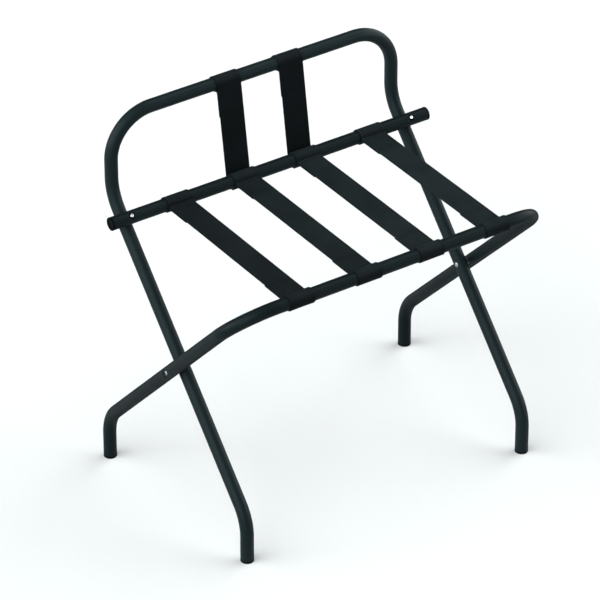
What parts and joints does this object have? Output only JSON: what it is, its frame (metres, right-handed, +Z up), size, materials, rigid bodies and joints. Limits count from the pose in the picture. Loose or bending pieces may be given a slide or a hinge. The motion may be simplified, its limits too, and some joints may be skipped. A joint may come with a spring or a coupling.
{
  "type": "folding luggage rack",
  "caption": "Folding luggage rack of crossed bent steel tubes with a raised back guard, webbing seat straps and webbing back straps, hinged on one pivot axis.",
  "frame": {"origin": "on the floor, under the middle of the open rack's outer box", "axes": "+X to the right seen from the front, along the crossbar; -Y to the front, where the low front bar is; +Z up"},
  "size_m": [0.6212, 0.4284, 0.645],
  "materials": {
    "black_powder_coat": "satin charcoal-black powder coat with a fine orange-peel grain",
    "black_webbing": "matte woven polypropylene webbing with stitched laps",
    "black_plastic": "moulded matte black plastic",
    "zinc_steel": "bright zinc plate"
  },
  "bodies": {
    "back_frame": {"back_frame_tube": "black_powder_coat", "crossbar_tube": "black_powder_coat", "crossbar_end_plug_left": "black_plastic", "crossbar_end_plug_right": "black_plastic", "crossbar_bolt_left": "zinc_steel", "crossbar_bolt_right": "zinc_steel", "crossbar_bolt_washer_left": "zinc_steel", "crossbar_bolt_washer_right": "zinc_steel", "crossbar_saddle_washer_left": "black_plastic", "crossbar_saddle_washer_right": "black_plastic", "crossbar_sleeve_nut_left": "zinc_steel", "crossbar_sleeve_nut_right": "zinc_steel", "pivot_rivet_left": "zinc_steel", "pivot_rivet_right": "zinc_steel", "pivot_spacer_left": "zinc_steel", "pivot_spacer_right": "zinc_steel", "back_frame_foot_glide_left": "black_plastic", "back_frame_foot_glide_right": "black_plastic", "seat_strap_1": "black_webbing", "seat_strap_2": "black_webbing", "seat_strap_3": "black_webbing", "seat_strap_4": "black_webbing", "back_strap_left": "black_webbing", "back_strap_right": "black_webbing"},
    "front_frame": {"front_frame_tube": "black_powder_coat", "front_frame_foot_glide_left": "black_plastic", "front_frame_foot_glide_right": "black_plastic"}
  },
  "joints": [
    {"name": "fold", "type": "hinge", "parent": "back_frame", "child": "front_frame", "pos_m": [0, -0.00447, 0.273], "axis": [-1, 0, 0], "range_deg": [0, 74], "deforming": ["seat_strap_1", "seat_strap_2", "seat_strap_3", "seat_strap_4"]}
  ]
}
